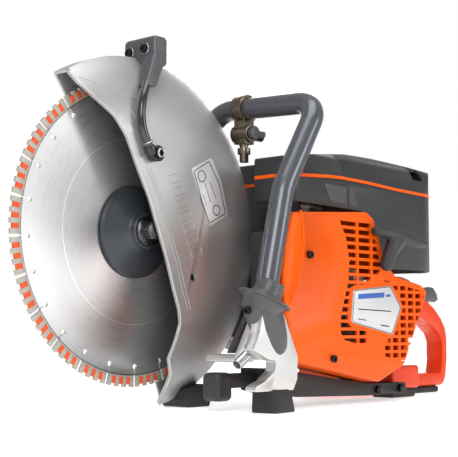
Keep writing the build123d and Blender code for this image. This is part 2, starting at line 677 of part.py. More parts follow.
def vibration_dampers():
    upright = cyl_z(300, -76, 9, 22, 58)
    return [upright] + [cyl_x(y, z, 11, 322, TANK_FRONT) for y, z in ((-46, 84), (-46, 136), (2, 110))]


# ---- Tank and rear handle ----
CAP_X, CAP_Z = 400.0, 105.0
PURGE_X, PURGE_Z = 354.0, 122.0


def fuel_tank():
    wall = 4
    tank = soft_block(TANK_FRONT, TANK_REAR, TANK_LEFT, TANK_RIGHT, 12, 150, 8)
    tank += soft_block(376, TANK_REAR, -96, TANK_LEFT + 10, 12, 42, 4)
    tank -= soft_block(TANK_FRONT + wall, TANK_REAR - wall, TANK_LEFT + wall, TANK_RIGHT - wall, 16, 146, 5)
    tank += cyl_y(CAP_X, CAP_Z, 16, TANK_RIGHT - 2, TANK_RIGHT + 8)
    tank += cyl_y(PURGE_X, PURGE_Z, 14, TANK_RIGHT - 2, TANK_RIGHT + 8)
    tank -= cyl_y(CAP_X, CAP_Z, 12, TANK_RIGHT - 10, TANK_RIGHT + 10)
    return tank - cyl_y(PURGE_X, PURGE_Z, 9.5, TANK_RIGHT, TANK_RIGHT + 10)


def fuel_cap():
    face = TANK_RIGHT + 8
    cap = cyl_y(CAP_X, CAP_Z, 20, face + 0.4, face + 12)
    cap += cyl_y(CAP_X, CAP_Z, 12 - RUNNING_GAP, face - 8, face + 1)
    flute = cyl_y(24, 0, 6, face + 3, face + 20)
    flutes = [Pos(CAP_X, 0, CAP_Z) * Rot(0, 45 * k, 0) * flute for k in range(8)]
    return cap - flutes


def purge_bulb():
    profile = [(0, 3.5), (9, 3.5), (9, 9), (7.5, 13), (4, 15.2), (0, 16)]
    return turned_y(PURGE_X, PURGE_Z, [(radius, TANK_RIGHT + out) for radius, out in profile])


def rear_handle():
    """Loop handle above and behind the tank, with slots for the trigger, its lockout and the stop switch."""
    outline = [(420, 164), (470, 163), (486, 160), (506, 148), (526, 134), (550, 121), (567, 107),
        (578, 93)]
    outline += [(REAR_X, 77), (REAR_X, 45), (578, 20), (570, 9), (420, 9)]
    gap = [(454, 27), (462, 88), (474, 103), (506, 107), (536, 97), (558, 84), (565, 72), (565, 45),
        (561, 27)]
    loop = side_plate(outline, REAR_LEFT, REAR_RIGHT, 8)
    sides = loop.faces().sort_by(Axis.Y)
    loop = fillet(sides[0].edges() + sides[-1].edges(), 7)
    loop -= side_plate(gap, -90, -10, 7)
    loop -= block(400, TANK_REAR, -120, 40, 0, 150)
    loop -= side_plate([(471, 80), (471, 121), (518, 121), (518, 80)], -47, -35)
    loop -= side_plate([(514, 121), (514, 180), (542, 180), (542, 121)], -48, -34)
    return loop - block(486, 508, -36, -20, 122, 134)


def throttle_trigger():
    return side_plate([(474, 116), (480, 119), (513, 110), (513, 100), (498, 89), (486, 84), (475, 100)],
        -46, -36, 2)


def throttle_lockout():
    outline = [(517, 141), (530, 149), (545, 151), (555, 150), (564, 142), (568, 133), (559, 129),
        (546, 131)]
    return side_plate(outline + [(534, 126), (520, 127)], -47, -35, 2)


def stop_switch():
    return block(488, 500, -35, -25, 123, 133)


def rear_feet():
    tank_pads = [soft_block(382, 436, y, y + 34, 0, 12, 3) for y in (-92, -8)]
    return tank_pads + [soft_block(468, 558, REAR_LEFT + 1, REAR_RIGHT - 1, 0, 9, 4)]


# ---- Controls ----
def choke_knob():
    return cyl_y(334, 161, 2.5, -26, 67) + cyl_y(334, 161, 8, 67, 78)


def decompression_button():
    return cyl_z(232, -45, 7, 298, 312) + cyl_z(232, -45, 2.5, 260, 299)


# ---- Water supply ----
VALVE_X, VALVE_Z = 159.5, 329.0
INLET_Y = -28.0


def water_valve():
    """Tap hung from the front handle, with a hose inlet to the rear and a tail below."""
    body = cyl_y(VALVE_X, VALVE_Z, 11, INLET_Y - 13, INLET_Y + 13)
    body += block(VALVE_X - 8, VALVE_X + 8, INLET_Y - 9, INLET_Y + 9, 316, 350)
    strap = ring_y(VALVE_X, 359.7, 17, HANDLE_TUBE_RADIUS, INLET_Y - 8, INLET_Y + 8)
    tail = cyl_z(VALVE_X, INLET_Y, 5.5, 294, 320) + cyl_z(VALVE_X, INLET_Y, 8, 304, 311)
    shoulder = cyl_x(INLET_Y, VALVE_Z, 9, VALVE_X, VALVE_X + 12)
    inlet = cyl_x(INLET_Y, VALVE_Z, 6, VALVE_X + 12, VALVE_X + 32)
    inlet -= cyl_x(INLET_Y, VALVE_Z, 4, VALVE_X + 15, VALVE_X + 33)
    outside = tube(HANDLE_ROUTE, HANDLE_BENDS, HANDLE_TUBE_RADIUS)
    valve = (body + strap + tail + shoulder + inlet) - outside
    return max(valve.solids(), key=lambda solid: solid.volume)


def valve_lever():
    hub = cyl_y(VALVE_X, VALVE_Z, 8, INLET_Y - 19, INLET_Y - 13.4)
    return hub + block(VALVE_X, VALVE_X + 20, INLET_Y - 18, INLET_Y - 15, VALVE_Z - 3, VALVE_Z + 3)


# ---- Fasteners ----
def body_screws():
    starter = [socket_screw(x, z, STARTER_FACE) for x, z in ((130, 174), (173, 56))]
    cover_points = [(0, 244), (0, 156), (258, 150), (258, 74), (130, 186), (130, 124)]
    cover = [socket_screw(x, z, COVER_RIGHT, 1) for x, z in cover_points]
    link = [hex_y(x, z, 10, -122, -118) for x, z in ((130, 32), (310, 15), (360, 15))]
    collar = cyl_x(-146, 110, 4.4, 28, 33) - cyl_x(-146, 110, 2.2, 27, 30)
    return starter + cover + link + [hex_y(134, 228, 13, 62.6, 67.8), collar]


PARTS = {
    "blade_core": blade_core,
    "blade_segments": blade_segments,
    "outer_flange": outer_flange,
    "inner_flange": inner_flange,
    "blade_bolt": blade_bolt,
    "blade_spindle": blade_spindle,
    "blade_pulley": blade_pulley,
    "crankcase": crankcase,
    "cylinder": cylinder,
    "piston": piston,
    "crankshaft": crankshaft,
    "ball_bearings": ball_bearings,
    "flywheel": flywheel,
    "clutch_shoes": clutch_shoes,
    "clutch_drum": clutch_drum,
    "spark_plug": spark_plug,
    "muffler": muffler,
    "exhaust_pipe": exhaust_pipe,
    "carburettor": carburettor,
    "intake_boot": intake_boot,
    "air_filter": air_filter,
    "cutting_arm": cutting_arm,
    "drive_belt": drive_belt,
    "belt_cover": belt_cover,
    "guard_shell": guard_shell,
    "guard_back": guard_back,
    "guard_label": guard_label,
    "guard_grip": guard_grip,
    "guard_screws": guard_screws,
    "guard_foot": guard_foot,
    "water_hose": water_hose,
    "hose_nozzle": hose_nozzle,
    "starter_cover": starter_cover,
    "starter_label": starter_label,
    "starter_pulley": starter_pulley,
    "starter_grip": starter_grip,
    "cylinder_cover": cylinder_cover,
    "air_filter_cover": air_filter_cover,
    "cover_stripe": cover_stripe,
    "front_handle": front_handle,
    "handle_collar": handle_collar,
    "handle_sleeve": handle_sleeve,
    "front_bracket": front_bracket,
    "front_foot": front_foot,
    "side_foot": side_foot,
    "lower_link": lower_link,
    "vibration_dampers": vibration_dampers,
    "fuel_tank": fuel_tank,
    "fuel_cap": fuel_cap,
    "purge_bulb": purge_bulb,
    "rear_handle": rear_handle,
    "throttle_trigger": throttle_trigger,
    "throttle_lockout": throttle_lockout,
    "stop_switch": stop_switch,
    "rear_feet": rear_feet,
    "choke_knob": choke_knob,
    "decompression_button": decompression_button,
    "water_valve": water_valve,
    "valve_lever": valve_lever,
    "body_screws": body_screws,
}


def main():
    os.makedirs("parts", exist_ok=True)
    home = Pos(-CENTRE_X, -CENTRE_Y, 0)
    for name, make in PARTS.items():
        made = make()
        shapes = made if isinstance(made, list) else [made]
        solids = [solid for shape in shapes for solid in shape.solids()]
        export_step(Compound([home * solid for solid in solids]), f"parts/{name}.step")
        print(name, len(solids))


main()
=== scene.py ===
import bpy
import bmesh
import json
from math import atan2, cos, hypot, pi, radians, sin
from mathutils import Matrix, Vector
from mathutils.bvhtree import BVHTree


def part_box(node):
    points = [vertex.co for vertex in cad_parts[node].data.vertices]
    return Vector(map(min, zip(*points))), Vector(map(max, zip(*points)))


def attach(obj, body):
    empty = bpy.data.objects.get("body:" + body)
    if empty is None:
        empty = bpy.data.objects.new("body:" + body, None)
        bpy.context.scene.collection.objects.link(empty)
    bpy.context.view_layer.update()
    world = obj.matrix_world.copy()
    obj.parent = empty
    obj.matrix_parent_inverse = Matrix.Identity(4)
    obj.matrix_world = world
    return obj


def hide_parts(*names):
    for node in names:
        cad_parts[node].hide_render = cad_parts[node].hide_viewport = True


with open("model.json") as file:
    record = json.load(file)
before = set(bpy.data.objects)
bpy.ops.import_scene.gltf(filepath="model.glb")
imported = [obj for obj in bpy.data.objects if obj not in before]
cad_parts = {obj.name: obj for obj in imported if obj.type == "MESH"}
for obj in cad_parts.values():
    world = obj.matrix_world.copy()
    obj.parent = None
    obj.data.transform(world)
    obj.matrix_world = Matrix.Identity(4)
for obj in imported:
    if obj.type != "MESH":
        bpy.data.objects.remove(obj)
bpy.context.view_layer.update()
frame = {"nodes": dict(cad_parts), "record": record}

MM = 0.001
NODES = frame["nodes"]
BODY_OF = {node: body for body, nodes in frame["record"]["behaviour"]["bodies"].items() for node in nodes}
SLOT_OF = {part["node"]: part["material_slot"] for part in frame["record"]["subparts"]}


def middle(node):
    low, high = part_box(node)
    return (low + high) / 2


AXLE = middle("blade_segments")
FLOOR_BELOW_AXLE = Vector((AXLE.x, AXLE.y, 0))


def at(x, y, z):
    """Place in metres, from millimetres counted from the floor point below the spindle."""
    return FLOOR_BELOW_AXLE + Vector((x, y, z)) * MM


# ---- Camera ----
CAMERA_AZIMUTH, CAMERA_ELEVATION, CAMERA_DISTANCE = -48.05, -4.836, 1.35
LENS, SENSOR = 93.3, 36.0
AIM = at(72.6, -81.3, 204.1)


def add_camera():
    az, el = radians(CAMERA_AZIMUTH), radians(CAMERA_ELEVATION)
    back = Vector((sin(az) * cos(el), -cos(az) * cos(el), sin(el)))
    data = bpy.data.cameras.new("camera")
    data.lens, data.sensor_width, data.sensor_fit = LENS, SENSOR, "HORIZONTAL"
    data.clip_start, data.clip_end = 0.05, 50
    camera = bpy.data.objects.new("camera", data)
    camera.location = AIM + back * CAMERA_DISTANCE
    camera.rotation_euler = back.to_track_quat("Z", "Y").to_euler()
    bpy.context.scene.collection.objects.link(camera)
    bpy.context.scene.camera = camera


add_camera()


# ---- Studio ----
# Brightness of the walls around the saw, against 1.0 for the backdrop behind it, and where one
# turns into the other, as the cosine of the angle from the view's own direction.
WALL_LEVEL, BACKDROP_LEVEL = 0.42, 1.0
BACKDROP_FADE = (0.72, 0.94)
FLOOR_HALF, FLOOR_DROP, FLOOR_GLOW = 6.0, 0.0003, 0.55
LIT_PLACE = at(120, -60, 200)
# Place in metres, size in metres and power in watts.
LAMPS = {
    "key": ((-1.6, -1.2, 1.3), 1.0, 18),
    "top": ((-0.3, -0.3, 2.2), 1.5, 21),
    "side": ((0.9, -2.2, 0.9), 0.9, 13),
    "rim": ((1.6, 1.3, 1.2), 0.9, 9),
}


def add_area(name, place, size, power):
    data = bpy.data.lights.new(name, "AREA")
    data.energy, data.size = power, size
    lamp = bpy.data.objects.new(name, data)
    lamp.location = place
    lamp.rotation_euler = (Vector(place) - LIT_PLACE).to_track_quat("Z", "Y").to_euler()
    bpy.context.scene.collection.objects.link(lamp)


def add_world():
    """White backdrop behind the saw in the main view, and dimmer studio walls all round."""
    world = bpy.data.worlds.new("studio")
    world.use_nodes = True
    tree = world.node_tree
    background = tree.nodes["Background"]
    coords = tree.nodes.new("ShaderNodeTexCoord")
    facing = tree.nodes.new("ShaderNodeVectorMath")
    facing.operation = "DOT_PRODUCT"
    az, el = radians(CAMERA_AZIMUTH), radians(CAMERA_ELEVATION)
    facing.inputs[1].default_value = (-sin(az) * cos(el), cos(az) * cos(el), -sin(el))
    tree.links.new(coords.outputs["Generated"], facing.inputs[0])
    level = tree.nodes.new("ShaderNodeMapRange")
    level.interpolation_type = "SMOOTHSTEP"
    level.inputs["From Min"].default_value, level.inputs["From Max"].default_value = BACKDROP_FADE
    level.inputs["To Min"].default_value = WALL_LEVEL
    level.inputs["To Max"].default_value = BACKDROP_LEVEL
    tree.links.new(facing.outputs["Value"], level.inputs["Value"])
    tree.links.new(level.outputs["Result"], background.inputs["Strength"])
    background.inputs["Color"].default_value = (1, 1, 1, 1)
    bpy.context.scene.world = world


def add_floor():
    mesh = bpy.data.meshes.new("floor")
    corners = [(x * FLOOR_HALF, y * FLOOR_HALF, 0) for x, y in ((-1, -1), (1, -1), (1, 1), (-1, 1))]
    mesh.from_pydata(corners, [], [(0, 1, 2, 3)])
    floor = bpy.data.objects.new("floor", mesh)
    floor.location.z = -FLOOR_DROP
    bpy.context.scene.collection.objects.link(floor)
    paper = bpy.data.materials.new("paper")
    paper.use_nodes = True
    shader = paper.node_tree.nodes["Principled BSDF"]
    shader.inputs["Base Color"].default_value = (0.90, 0.90, 0.90, 1)
    shader.inputs["Roughness"].default_value = 0.7
    shader.inputs["Emission Color"].default_value = (1, 1, 1, 1)
    shader.inputs["Emission Strength"].default_value = FLOOR_GLOW
    floor.data.materials.append(paper)


def add_studio():
    bpy.context.scene.view_settings.view_transform = "Standard"
    add_world()
    add_floor()
    for name, (place, size, power) in LAMPS.items():
        add_area(name, place, size, power)


add_studio()


# ---- Materials ----
class Shader:
    """A Principled material with helpers for its node tree."""

    def __init__(self, name, color, roughness, metallic=0.0, specular=0.5, coat=0.0, coat_roughness=0.1):
        self.material = bpy.data.materials.new(name)
        self.material.use_nodes = True
        self.tree = self.material.node_tree
        self.principled = self.tree.nodes["Principled BSDF"]
        self.base = (*color, 1.0)
        self.principled.inputs["Base Color"].default_value = self.base
        self.principled.inputs["Roughness"].default_value = roughness
        self.principled.inputs["Metallic"].default_value = metallic
        self.principled.inputs["Specular IOR Level"].default_value = specular
        self.principled.inputs["Coat Weight"].default_value = coat
        self.principled.inputs["Coat Roughness"].default_value = coat_roughness
        self.coords = self.add("ShaderNodeTexCoord").outputs["Object"]

    def add(self, kind, **settings):
        node = self.tree.nodes.new(kind)
        for key, value in settings.items():
            setattr(node, key, value)
        return node

    def link(self, source, target):
        self.tree.links.new(source, target)

    def math(self, operation, a, b=None):
        node = self.add("ShaderNodeMath", operation=operation)
        for socket, value in zip(node.inputs, (a, b)):
            if value is None:
                continue
            if isinstance(value, (int, float)):
                socket.default_value = value
            else:
                self.link(value, socket)
        return node.outputs[0]

    def noise(self, scale, detail=4.0, roughness=0.55, vector=None, stretch=None):
        node = self.add("ShaderNodeTexNoise")
        node.inputs["Scale"].default_value = scale
        node.inputs["Detail"].default_value = detail
        node.inputs["Roughness"].default_value = roughness
        source = vector or self.coords
        if stretch:
            mapping = self.add("ShaderNodeMapping")
            mapping.inputs["Scale"].default_value = stretch
            self.link(source, mapping.inputs["Vector"])
            source = mapping.outputs["Vector"]
        self.link(source, node.inputs["Vector"])
        return node.outputs["Fac"]

    def ramp(self, factor, low, high, low_value, high_value):
        node = self.add("ShaderNodeMapRange")
        node.inputs["From Min"].default_value = low
        node.inputs["From Max"].default_value = high
        node.inputs["To Min"].default_value = low_value
        node.inputs["To Max"].default_value = high_value
        self.link(factor, node.inputs["Value"])
        return node.outputs["Result"]

    def tint(self, factor, color_a, color_b):
        node = self.add("ShaderNodeMix", data_type="RGBA")
        self.link(factor, node.inputs["Factor"])
        sockets = [s for s in node.inputs if s.type == "RGBA"]
        for socket, color in zip(sockets, (color_a, color_b)):
            if isinstance(color, tuple):
                socket.default_value = (*color, 1.0)
            else:
                self.link(color, socket)
        return [s for s in node.outputs if s.type == "RGBA"][0]

    def color(self, source):
        self.link(source, self.principled.inputs["Base Color"])

    def roughness(self, source):
        self.link(source, self.principled.inputs["Roughness"])

    def bump(self, height, strength, distance):
        node = self.add("ShaderNodeBump")
        node.inputs["Strength"].default_value = strength
        node.inputs["Distance"].default_value = distance
        self.link(height, node.inputs["Height"])
        previous = self.principled.inputs["Normal"]
        if previous.is_linked:
            self.link(previous.links[0].from_socket, node.inputs["Normal"])
        self.link(node.outputs["Normal"], previous)


def shade(color, factor):
    return tuple(min(1.0, c * factor) for c in color)


def molded(name, color, roughness, grain=2600, grain_depth=0.00004, variation=0.07, coat=0.0, specular=0.5):
    """Moulded plastic or rubber: fine grain, faint cloudy colour and uneven gloss."""
    s = Shader(name, color, roughness, coat=coat, specular=specular)
    clouds = s.noise(14, 3)
    fine = s.noise(grain, 2)
    s.color(s.tint(clouds, shade(color, 1 - variation), shade(color, 1 + variation)))
    s.roughness(s.ramp(s.noise(60, 4), 0.3, 0.7, roughness - 0.05, roughness + 0.07))
    s.bump(fine, 0.25, grain_depth)
    return s.material


def painted(name, color, roughness, metallic=0.0, peel=420, variation=0.04, coat=0.0):
    """Powder coat: orange peel, faint flow marks and slightly uneven gloss."""
    s = Shader(name, color, roughness, metallic=metallic, coat=coat)
    s.color(s.tint(s.noise(9, 4), shade(color, 1 - variation), shade(color, 1 + variation)))
    s.roughness(s.ramp(s.noise(35, 5), 0.3, 0.7, roughness - 0.06, roughness + 0.06))
    s.bump(s.noise(peel, 2), 0.12, 0.0001)
    s.bump(s.noise(2400, 1), 0.06, 0.00003)
    return s.material


def cast_metal(name, color, roughness, pits=900):
    """Cast or blasted metal: pitted skin and slightly darker hollows."""
    s = Shader(name, color, roughness, metallic=1.0)
    grain = s.noise(pits, 5, 0.7)
    s.color(s.tint(grain, shade(color, 0.82), shade(color, 1.1)))
    s.roughness(s.ramp(s.noise(50, 4), 0.3, 0.7, roughness - 0.08, roughness + 0.1))
    s.bump(grain, 0.35, 0.00012)
    return s.material


def machined(name, color, roughness, stretch=(1, 1, 1), scale=700):
    """Turned or drawn steel: fine tool marks along one direction."""
    s = Shader(name, color, roughness, metallic=1.0)
    marks = s.noise(scale, 4, 0.6, stretch=stretch)
    s.color(s.tint(marks, shade(color, 0.85), shade(color, 1.1)))
    s.roughness(s.ramp(marks, 0.3, 0.7, roughness - 0.07, roughness + 0.1))
    s.bump(marks, 0.15, 0.00004)
    return s.material


def polar(s, centre):
    """Radius and angle sockets around the spindle, in metres and radians."""
    shift = s.add("ShaderNodeVectorMath", operation="SUBTRACT")
    shift.inputs[1].default_value = centre
    s.link(s.coords, shift.inputs[0])
    parts = s.add("ShaderNodeSeparateXYZ")
    s.link(shift.outputs["Vector"], parts.inputs[0])
    x, z = parts.outputs["X"], parts.outputs["Z"]
    radius = s.math("SQRT", s.math("ADD", s.math("MULTIPLY", x, x), s.math("MULTIPLY", z, z)))
    return radius, s.math("ARCTAN2", z, x)


# Radii on the blade, in metres: the turned ring, the weld under the segments and their half width.
RING_RADIUS, WELD_RADIUS, LINE_HALF = 0.105, 0.1613, 0.0005
HEAT_START, HEAT_END = 0.150, 0.163


def circle_line(s, radius, place):
    """1 on a thin circle around the spindle, 0 elsewhere."""
    return s.math("LESS_THAN", s.math("ABSOLUTE", s.math("SUBTRACT", radius, place)), LINE_HALF)


def blade_steel():
    """Ground steel disc: circular grinding marks, a turned ring and a weld line under the segments."""
    color = (0.62, 0.62, 0.62)
    s = Shader("blade_steel", color, 0.30, metallic=1.0)
    s.principled.inputs["Anisotropic"].default_value = 0.85
    tangent = s.add("ShaderNodeTangent", direction_type="RADIAL", axis="Y")
    s.link(tangent.outputs[0], s.principled.inputs["Tangent"])
    radius, angle = polar(s, AXLE)
    streak_vector = s.add("ShaderNodeCombineXYZ")
    s.link(s.math("MULTIPLY", radius, 2600), streak_vector.inputs["X"])
    s.link(s.math("MULTIPLY", angle, 3.0), streak_vector.inputs["Y"])
    streaks = s.noise(1.0, 3, 0.5, vector=streak_vector.outputs[0])
    ground = s.tint(streaks, shade(color, 0.94), shade(color, 1.05))
    heat = s.ramp(radius, HEAT_START, HEAT_END, 0.0, 0.3)
    tinted = s.tint(heat, ground, (0.50, 0.48, 0.46))
    ring = circle_line(s, radius, RING_RADIUS)
    lighter = s.tint(s.math("MULTIPLY", ring, 0.8), tinted, (0.95, 0.95, 0.95))
    weld = circle_line(s, radius, WELD_RADIUS)
    s.color(s.tint(s.math("MULTIPLY", weld, 0.85), lighter, (0.06, 0.06, 0.07)))
    s.roughness(s.ramp(streaks, 0.3, 0.7, 0.26, 0.34))
    s.bump(streaks, 0.02, 0.00001)
    return s.material


def speckled(name, color, roughness, metallic, scale=1400, depth=0.00025, spread=0.3):
    """Rough grit held in a binder."""
    s = Shader(name, color, roughness, metallic=metallic)
    grit = s.noise(scale, 3, 0.7)
    s.color(s.tint(s.ramp(grit, 0.35, 0.65, 0, 1), shade(color, 1 - spread), shade(color, 1 + spread)))
    s.bump(grit, 0.6, depth)
    return s.material


ORANGE = (0.86, 0.105, 0.002)
# The second orange is a darker, redder copy of the body orange. It is painted shade for the fuel tank and
# rear handle, which sit in shade behind the starter cover.
ORANGE_IN_SHADE = (0.76, 0.050, 0.003)
MATERIALS = {
    "blade_steel": blade_steel(),
    "segment_metal": speckled("segment_metal", (0.46, 0.43, 0.38), 0.55, 0.5),
    "segment_fill": speckled("segment_fill", (0.72, 0.085, 0.012), 0.6, 0.0, spread=0.35),
    "dark_flange": painted("dark_flange", (0.050, 0.056, 0.064), 0.34, metallic=0.4),
    "machined_steel": machined("machined_steel", (0.52, 0.53, 0.54), 0.25),
    "dark_steel": machined("dark_steel", (0.05, 0.052, 0.056), 0.3),
    "bolt_steel": machined("bolt_steel", (0.16, 0.16, 0.165), 0.28),
    "brown_steel": cast_metal("brown_steel", (0.22, 0.13, 0.07), 0.45),
    "cast_aluminium": cast_metal("cast_aluminium", (0.66, 0.66, 0.65), 0.36),
    "clutch_steel": cast_metal("clutch_steel", (0.20, 0.19, 0.18), 0.5),
    "muffler_steel": painted("muffler_steel", (0.035, 0.035, 0.036), 0.55),
    "guard_paint": painted("guard_paint", (0.44, 0.445, 0.44), 0.42, metallic=0.60),
    "guard_edge": painted("guard_edge", (0.56, 0.56, 0.55), 0.32, metallic=0.65),
    "arm_paint": painted("arm_paint", (0.02, 0.02, 0.022), 0.4),
    "charcoal_plastic": molded("charcoal_plastic", (0.020, 0.021, 0.022), 0.42),
    "panel_plastic": molded("panel_plastic", (0.060, 0.062, 0.064), 0.40),
    "orange_plastic": molded("orange_plastic", ORANGE, 0.32, variation=0.03, specular=0.16),
    # Painted shade: the body orange, darkened and reddened, for the fuel tank and rear handle.
    "tank_plastic": molded("tank_plastic", ORANGE_IN_SHADE, 0.30, variation=0.05, specular=0.35),
    "handle_grey": painted("handle_grey", (0.090, 0.096, 0.112), 0.28, metallic=0.4, coat=0.4),
    "grey_plastic": molded("grey_plastic", (0.075, 0.077, 0.083), 0.36),
    "pad_plastic": molded("pad_plastic", (0.026, 0.026, 0.028), 0.5),
    "black_plastic": molded("black_plastic", (0.012, 0.012, 0.013), 0.5),
    "blue_plastic": molded("blue_plastic", (0.02, 0.06, 0.28), 0.3),
    "blue_print": molded("blue_print", (0.03, 0.10, 0.42), 0.4),
    "clear_rubber": molded("clear_rubber", (0.45, 0.40, 0.32), 0.3),
    "black_rubber": molded("black_rubber", (0.014, 0.014, 0.014), 0.6, grain=1500, grain_depth=0.0001),
    "hose_rubber": molded("hose_rubber", (0.016, 0.019, 0.024), 0.16, coat=0.6),
    "nozzle_plastic": molded("nozzle_plastic", (0.012, 0.013, 0.016), 0.25, coat=0.3),
    "filter_foam": molded("filter_foam", (0.42, 0.38, 0.28), 0.9, grain=900, grain_depth=0.0004),
    "label_metal": painted("label_metal", (0.62, 0.63, 0.64), 0.38, metallic=0.3),
    "valve_brass": cast_metal("valve_brass", (0.20, 0.165, 0.12), 0.32),
    "screw_steel": machined("screw_steel", (0.035, 0.035, 0.038), 0.35),
}
# The rear handle and fuel tank take the darker, redder orange, which is painted shade.
NODE_MATERIAL = {
    "rear_handle": "tank_plastic", "fuel_tank": "tank_plastic", "blade_bolt": "bolt_steel",
    "side_foot": "pad_plastic", "guard_screws": "dark_steel", "starter_grip": "pad_plastic",
}


def material_of(node):
    return MATERIALS[NODE_MATERIAL.get(node, SLOT_OF[node])]


# ---- Pieces ----
def place(obj, node, replace=True):
    """Puts a new piece on the node's body and lets it stand for the node."""
    if obj.name not in bpy.context.scene.collection.objects:
        bpy.context.scene.collection.objects.link(obj)
    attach(obj, BODY_OF[node])
    if replace:
        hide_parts(node)
    return obj


def new_piece(name, work):
    """Object in the scene made from a finished bmesh, which is let go."""
    mesh = bpy.data.meshes.new(name)
    work.to_mesh(mesh)
    work.free()
    obj = bpy.data.objects.new(name, mesh)
    bpy.context.scene.collection.objects.link(obj)
    return obj


def apply_modifiers(obj):
    bpy.context.view_layer.update()
    graph = bpy.context.evaluated_depsgraph_get()
    mesh = bpy.data.meshes.new_from_object(obj.evaluated_get(graph))
    obj.modifiers.clear()
    obj.data = mesh


def smooth_by_angle(mesh, degrees=32):
    for polygon in mesh.polygons:
        polygon.use_smooth = True
    mesh.set_sharp_from_angle(angle=radians(degrees))


# Corners closer than WELD_GAP (metres) are one corner, and edges flatter than FLAT_ANGLE go.
WELD_GAP, FLAT_ANGLE, SHARP_ANGLE = 0.00002, 0.6, 28


def soften(node, width):
    """The node's own shape with its sharp edges rounded, standing for the node."""
    mesh = NODES[node].data.copy()
    mesh.materials.clear()
    work = bmesh.new()
    work.from_mesh(mesh)
    bmesh.ops.remove_doubles(work, verts=work.verts, dist=WELD_GAP)
    bmesh.ops.dissolve_limit(work, angle_limit=radians(FLAT_ANGLE), verts=work.verts, edges=work.edges)
    work.to_mesh(mesh)
    work.free()
    obj = bpy.data.objects.new(f"{node}_look", mesh)
    bpy.context.scene.collection.objects.link(obj)
    bevel = obj.modifiers.new("bevel", "BEVEL")
    bevel.width, bevel.segments = width * MM, 2
    bevel.limit_method, bevel.angle_limit = "ANGLE", radians(SHARP_ANGLE)
    bevel.use_clamp_overlap = True
    bevel.miter_outer = "MITER_ARC"
    apply_modifiers(obj)
    obj.data.materials.append(material_of(node))
    smooth_by_angle(obj.data)
    return place(obj, node)


def finish_cad(node):
    """A node whose shape is right keeps it and gets its material."""
    obj = NODES[node]
    obj.data.materials.clear()
    obj.data.materials.append(material_of(node))


# Width of the rounding on each node's edges, in millimetres.
SOFT_EDGES = {
    "guard_shell": 0.7, "guard_grip": 1.6, "guard_foot": 1.5, "outer_flange": 0.6, "blade_bolt": 0.4,
    "cylinder_cover": 1.6, "air_filter_cover": 1.6, "rear_handle": 1.0, "fuel_tank": 0.8,
    "front_bracket": 2.0, "front_foot": 2.0, "side_foot": 1.5, "lower_link": 0.8, "belt_cover": 0.8,
    "muffler": 0.8, "starter_label": 0.25, "guard_label": 0.25, "hose_nozzle": 0.8, "water_valve": 0.6,
    "valve_lever": 0.8, "throttle_lockout": 1.2, "throttle_trigger": 1.0, "crankcase": 1.0,
    "cutting_arm": 0.8, "exhaust_pipe": 0.4, "fuel_cap": 0.8, "choke_knob": 0.6, "rear_feet": 0.5,
    "body_screws": 0.3, "guard_screws": 0.3, "stop_switch": 0.5, "decompression_button": 0.6,
    "guard_back": 0.4,
}
# Nodes whose visible shape is built further down.
OWN_SHAPE = ("blade_segments", "starter_cover", "starter_grip", "handle_collar", "handle_sleeve")

for node in NODES:
    if node in SOFT_EDGES:
        soften(node, SOFT_EDGES[node])
    elif node not in OWN_SHAPE:
        finish_cad(node)


# ---- Starter cover ----
# The crease runs between these (x, z) places, and the strip below it leans in by this slope.
FOLD_START, FOLD_END = (98, 69), (318, 44)
FOLD_SLOPE = 0.42


def add_starter_cover():
    """The cover with its lower strip folded back towards the engine, below a slanting crease."""
    mesh = NODES["starter_cover"].data.copy()
    mesh.materials.clear()
    low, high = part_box("starter_cover")
    start, end = at(FOLD_START[0], 0, FOLD_START[1]), at(FOLD_END[0], 0, FOLD_END[1])
    crease = (end - start).normalized()
    down = Vector((crease.z, 0, -crease.x))
    work = bmesh.new()
    work.from_mesh(mesh)
    bmesh.ops.remove_doubles(work, verts=work.verts, dist=WELD_GAP)
    everything = list(work.verts) + list(work.edges) + list(work.faces)
    bmesh.ops.bisect_plane(work, geom=everything, dist=0.00001, plane_co=start, plane_no=down)
    for vertex in work.verts:
        below = (vertex.co - start).dot(down)
        if below > 0:
            depth = (high.y - vertex.co.y) / (high.y - low.y)
            vertex.co.y += FOLD_SLOPE * below * depth
    work.to_mesh(mesh)
    work.free()
    obj = bpy.data.objects.new("starter_cover_look", mesh)
    bpy.context.scene.collection.objects.link(obj)
    obj.data.materials.append(material_of("starter_cover"))
    smooth_by_angle(obj.data, 18)
    place(obj, "starter_cover")


add_starter_cover()


# ---- Rounded mouldings ----
def swelling(work, start, end, steps=10):
    """Row of balls between two ((x, y, z), radius, flatness) stations, in millimetres."""
    for k in range(steps + 1):
        share = k / steps
        centre = Vector(start[0]).lerp(Vector(end[0]), share)
        radius = start[1] + (end[1] - start[1]) * share
        flat = start[2] + (end[2] - start[2]) * share
        shape = Matrix.Translation(at(*centre)) @ Matrix.Diagonal((1, flat, 1, 1))
        bmesh.ops.create_icosphere(work, subdivisions=3, radius=radius * MM, matrix=shape)


def melt_together(name, runs, node):
    """One smooth moulding from rows of balls, standing for the node."""
    work = bmesh.new()
    for run in runs:
        for start, end in zip(run, run[1:]):
            swelling(work, start, end)
    obj = new_piece(name, work)
    remesh = obj.modifiers.new("remesh", "REMESH")
    remesh.mode, remesh.voxel_size = "VOXEL", 1.2 * MM
    smooth = obj.modifiers.new("smooth", "SMOOTH")
    smooth.factor, smooth.iterations = 0.5, 6
    apply_modifiers(obj)
    obj.data.materials.append(material_of(node))
    smooth_by_angle(obj.data, 60)
    return place(obj, node)


